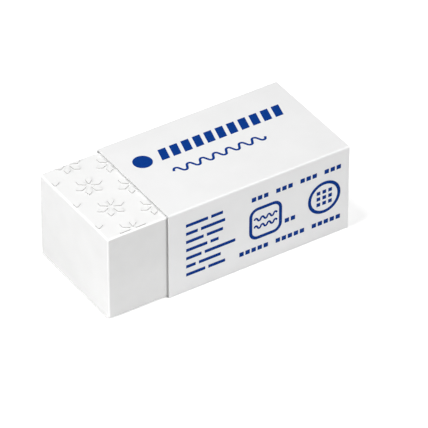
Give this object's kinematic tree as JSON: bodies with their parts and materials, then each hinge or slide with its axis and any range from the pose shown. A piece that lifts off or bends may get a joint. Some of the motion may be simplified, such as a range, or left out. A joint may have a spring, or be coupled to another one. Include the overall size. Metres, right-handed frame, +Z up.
{
  "type": "plastic eraser",
  "caption": "Small white vinyl eraser block with a moulded relief on top, in a folded card sleeve with a blue geometric print that slides along the block.",
  "frame": {"origin": "on the surface that the sleeve lies on, under the middle of the part", "axes": "+X along the block from its bare working end to its back end, +Y across it away from the printed side panel, +Z up through the printed top panel"},
  "size_m": [0.033, 0.0156, 0.012],
  "materials": {
    "vinyl": "matte",
    "card": "satin",
    "ink": "satin"
  },
  "bodies": {
    "eraser": {"eraser_block": "vinyl"},
    "sleeve": {"card_sleeve": "card", "sleeve_print": "ink"}
  },
  "joints": [
    {"name": "sleeve_slide", "type": "slide", "parent": "eraser", "child": "sleeve", "axis": [1, 0, 0], "range_m": [-0.008, 0.02]}
  ]
}
